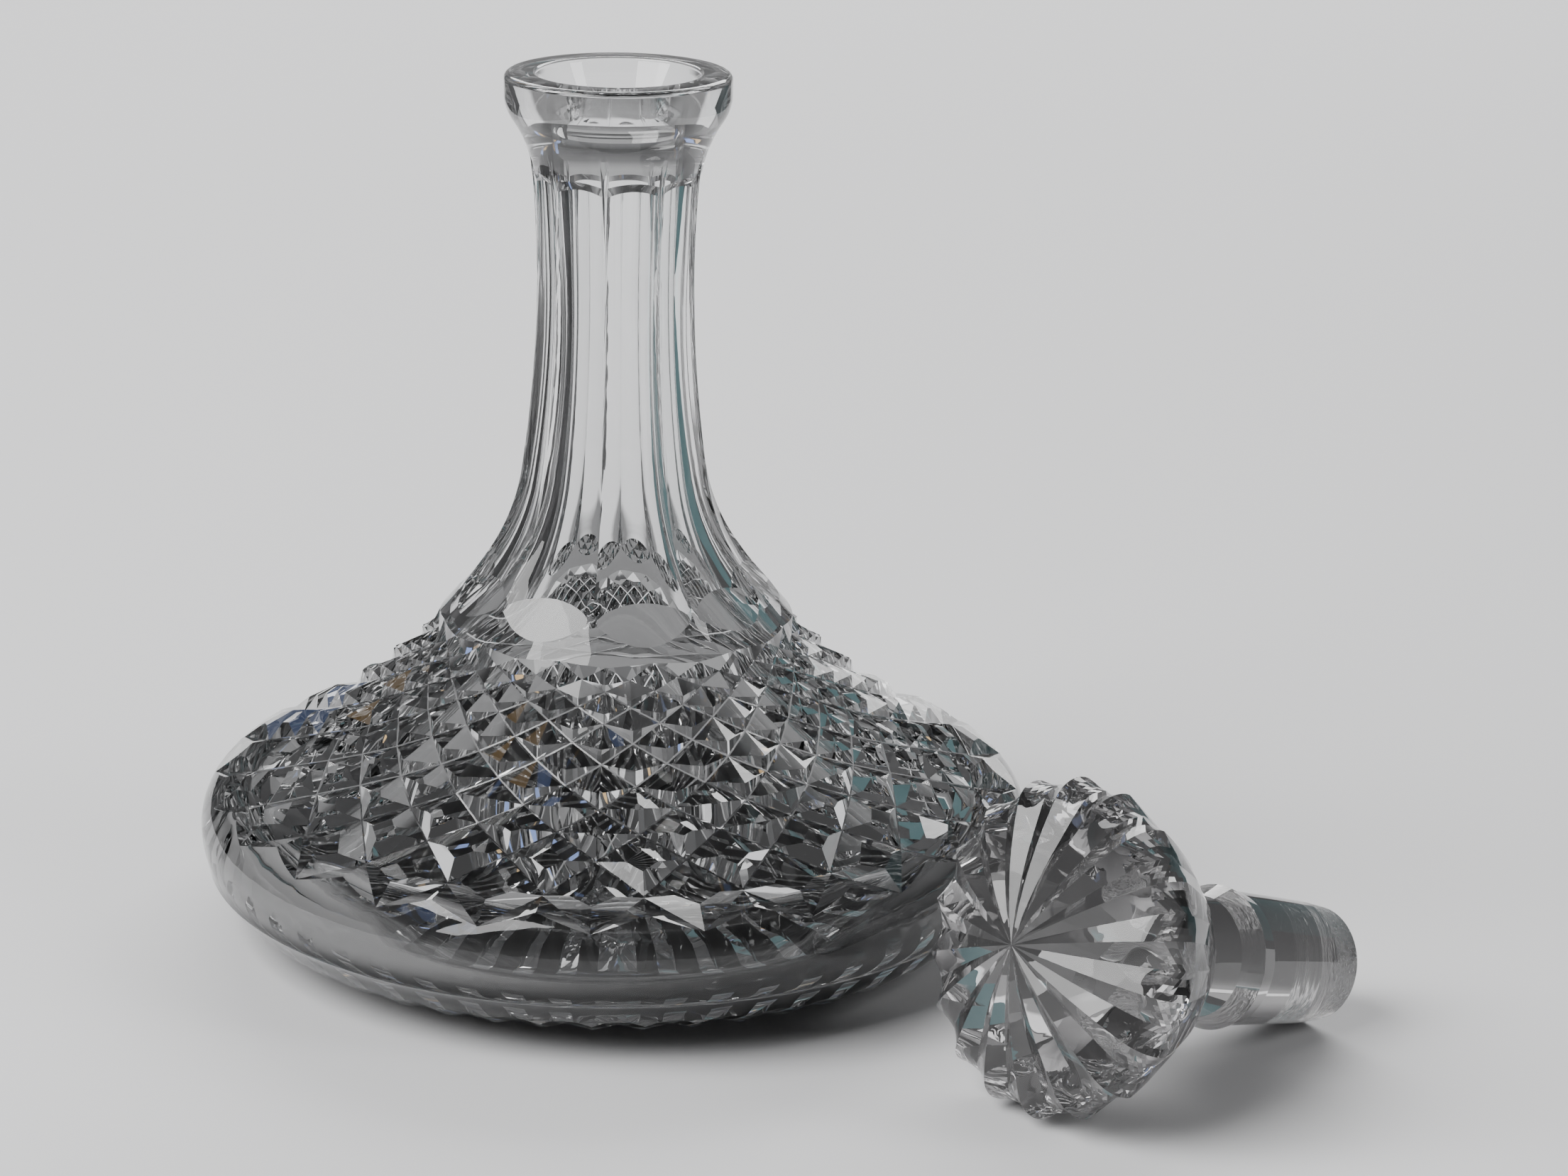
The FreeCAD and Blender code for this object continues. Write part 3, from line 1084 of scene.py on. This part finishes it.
@dataclass(frozen=True)
class Studio:
    """The floor, the air, the lights and the camera."""

    softboxes: tuple[Softbox, ...] = (
        Softbox("window_light", (-1.5, -0.7, 1.7), (0.0, 0.0, 0.08), 1.8, 1.8, 75.0),
        Softbox("glow", (-2.0, -0.2, 1.5), (0.0, 0.0, 0.08), 1.0, 2.4, 24.0, in_glass=True),
        Softbox("back_light", (0.3, 2.2, 1.5), (0.0, 0.0, 0.1), 2.6, 1.0, 62.0),
        Softbox("side_light", (1.9, -0.6, 1.1), (0.0, 0.0, 0.08), 0.6, 1.4, 16.0),
        Softbox("sea_glow", (0.36, 0.14, 0.08), (0.05, 0.0, 0.03), 0.4, 0.16, 0.025,
                color=(0.25, 0.85, 0.92), in_glass=True),
        Softbox("amber_glow", (-0.75, 0.9, 0.9), (0.0, 0.0, 0.05), 0.16, 0.5, 0.26,
                color=(1.0, 0.66, 0.3), in_glass=True),
        Softbox("blue_glow", (-0.58, 1.0, 0.9), (0.0, 0.0, 0.05), 0.16, 0.5, 0.26,
                color=(0.35, 0.5, 1.0), in_glass=True),
    )
    paper: Color = (0.74, 0.74, 0.75, 1.0)
    # Painted shade on the floor, which only rays through the glass see close by the set.
    painted_paper_shade: Color = (0.18, 0.18, 0.182, 1.0)
    darkest_painted_shade: Color = (0.04, 0.04, 0.041, 1.0)
    card_black: Color = (0.03, 0.03, 0.031, 1.0)
    backdrop: Color = (0.56, 0.56, 0.567, 1.0)
    air_tones: tuple[tuple[float, Color], ...] = (
        (0.08, (0.55, 0.55, 0.555, 1.0)), (0.25, (0.22, 0.22, 0.225, 1.0)), (0.5, (0.07, 0.07, 0.071, 1.0))
    )
    far_glow: float = 0.62
    floor_half: float = 6.0
    floor_drop: float = 0.0004
    card_size: tuple[float, float] = (0.4, 1.1)
    card_middle: tuple[float, float] = (0.25, 0.2)
    card_reaches: tuple[tuple[str, float], ...] = (("left_card", -0.3), ("right_card", 0.4))
    lens: float = 92.25
    eye: Solid = (0.0, -0.8715, 0.3549)
    pitch: float = 0.309
    roll: float = 0.004
    yaw: float = 0.0416683

    def square(self, name: str, half: float, material: Material) -> Object:
        """A flat square at the origin.

        Args:
            name: Name of the object.
            half: Half its width.
            material: What it is made of.

        Returns:
            The object, which is in the scene.
        """
        mesh = bmesh.new()
        bmesh.ops.create_grid(mesh, x_segments=2, y_segments=2, size=half)
        data = bpy.data.meshes.new(name)
        mesh.to_mesh(data)
        mesh.free()
        data.materials.append(material)
        flat = bpy.data.objects.new(name, data)
        bpy.context.collection.objects.link(flat)
        return flat

    def floor(self) -> None:
        """A plain pale floor, much larger than the view, which the glass shows in painted shade near the
        set.
        """
        paper = bpy.data.materials.new("pale_paper_painted_shade")
        paper.use_nodes = True
        tree = paper.node_tree
        shader = tree.nodes["Principled BSDF"]
        set_inputs(shader, {"Roughness": 0.85, "Emission Color": self.paper})
        tree.links.new(self.floor_painted_shade(tree), shader.inputs["Base Color"])
        tree.links.new(self.far_floor(tree), shader.inputs["Emission Strength"])
        ground = self.square("floor", self.floor_half, paper)
        ground.location.z = -self.floor_drop

    def nearness(self, tree: NodeTree, centre: Solid, near: float, far: float) -> NodeSocket:
        """A mask that falls from one to nothing with distance on the floor.

        Args:
            tree: The floor's nodes.
            centre: Middle of the mask.
            near: Distance up to which it is whole.
            far: Distance from which there is none.

        Returns:
            The mask.
        """
        place = tree.nodes.new("ShaderNodeTexCoord")
        distance = tree.nodes.new("ShaderNodeVectorMath")
        distance.operation = "DISTANCE"
        feed(tree, distance.inputs[0], place.outputs["Object"])
        feed(tree, distance.inputs[1], centre)
        reach = tree.nodes.new("ShaderNodeMapRange")
        set_inputs(reach, {"From Min": near, "From Max": far, "To Min": 1.0, "To Max": 0.0})
        tree.links.new(distance.outputs["Value"], reach.inputs["Value"])
        return reach.outputs["Result"]

    def floor_painted_shade(self, tree: NodeTree) -> NodeSocket:
        """Pale paper, with painted shade close by the set that only rays through the glass see, darkest by
        the stopper.

        Args:
            tree: The floor's nodes.

        Returns:
            The colour.
        """
        seen = tree.nodes.new("ShaderNodeLightPath")
        # Painted shade: the floor is darker near the set and darkest near the stopper, for rays through the
        # glass only.
        stopper_painted_shade_mask = self.nearness(tree, (0.15, -0.08, 0.0), 0.1, 0.2)
        set_painted_shade_mask = self.nearness(tree, (0.06, -0.03, 0.0), 0.315, 0.36)
        shade = mixed(tree, stopper_painted_shade_mask, self.painted_paper_shade, self.darkest_painted_shade)
        share = arithmetic(tree, "MULTIPLY", set_painted_shade_mask, seen.outputs["Is Transmission Ray"])
        return mixed(tree, share, self.paper, shade)

    def far_floor(self, tree: NodeTree) -> NodeSocket:
        """How much the paper glows far off, where the lamps don't reach.

        Args:
            tree: The floor's nodes.

        Returns:
            The strength.
        """
        seen = tree.nodes.new("ShaderNodeLightPath")
        near = self.nearness(tree, (0.0, 0.0, 0.0), 1.6, 2.6)
        lit = arithmetic(tree, "MULTIPLY", near, self.far_glow)
        beyond = arithmetic(tree, "SUBTRACT", self.far_glow, lit)
        return arithmetic(tree, "MULTIPLY", beyond, seen.outputs["Is Camera Ray"])

    def cards(self) -> None:
        """Two dark cards beside the set, which darken the glass's edges and cast no shadow."""
        black = bpy.data.materials.new("dark_card")
        black.use_nodes = True
        shader = black.node_tree.nodes["Principled BSDF"]
        set_inputs(shader, {"Base Color": self.card_black, "Roughness": 0.9})
        for name, reach in self.card_reaches:
            card = self.square(name, 0.5, black)
            card.matrix_world = (
                Matrix.Translation((reach, *self.card_middle))
                @ Matrix.Rotation(math.pi / 2, 4, "Y") @ Matrix.Diagonal((*self.card_size, 1.0, 1.0))
            )
            card.visible_camera = card.visible_diffuse = card.visible_shadow = False

    def air(self) -> None:
        """Even light from all round, brighter low down than overhead, before a plain backdrop."""
        world = bpy.data.worlds.new("room")
        bpy.context.scene.world = world
        world.use_nodes = True
        tree = world.node_tree
        way = tree.nodes.new("ShaderNodeTexCoord")
        parts = tree.nodes.new("ShaderNodeSeparateXYZ")
        ramp = tree.nodes.new("ShaderNodeValToRGB")
        tree.links.new(way.outputs["Generated"], parts.inputs["Vector"])
        tree.links.new(parts.outputs["Z"], ramp.inputs["Fac"])
        low, middle, high = self.air_tones
        stops = ramp.color_ramp.elements
        stops[0].position, stops[0].color = low
        stops[1].position, stops[1].color = high
        stops.new(middle[0]).color = middle[1]
        seen = tree.nodes.new("ShaderNodeLightPath")
        ground = tree.nodes["Background"]
        tone = mixed(tree, seen.outputs["Is Camera Ray"], ramp.outputs["Color"], self.backdrop)
        tree.links.new(tone, ground.inputs["Color"])
        set_inputs(ground, {"Strength": 0.9})

    def camera(self) -> None:
        """The camera, above the neck, looking slightly to the right of the bottle's middle."""
        lens = bpy.data.cameras.new("camera")
        lens.sensor_width = 36.0
        lens.lens = self.lens
        lens.clip_start = 0.01
        eye = bpy.data.objects.new("camera", lens)
        eye.location = self.eye
        facing = Euler((math.pi / 2 - self.pitch, 0.0, 0.0)).to_matrix()
        turned = Matrix.Rotation(-self.yaw, 3, "Y") @ Matrix.Rotation(self.roll, 3, "Z")
        eye.rotation_euler = (facing @ turned).to_euler()
        bpy.context.collection.objects.link(eye)
        bpy.context.scene.camera = eye

    def build(self) -> None:
        """Sets up the whole room."""
        self.floor()
        self.cards()
        self.air()
        for softbox in self.softboxes:
            softbox.light()
        self.camera()


def main() -> None:
    """Builds every piece and the room around them."""
    logging.basicConfig(level=logging.INFO, format="%(name)s: %(message)s")
    polish = hand_polish_group()
    ground = GROUND_CRYSTAL.material(polish)
    Studio().build()
    for maker, crystal in ((Decanter(), CUT_CRYSTAL), (Stopper(), STOPPER_CRYSTAL)):
        piece = maker.build([crystal.material(polish), ground])
        log.info("built %s", piece.name)
    cycles = bpy.context.scene.cycles
    cycles.max_bounces = GLASS_BOUNCES
    cycles.transmission_bounces = GLASS_BOUNCES
    cycles.glossy_bounces = GLOSSY_BOUNCES
    cycles.caustics_refractive = False
    cycles.caustics_reflective = False


if __name__ == "__main__":
    main()
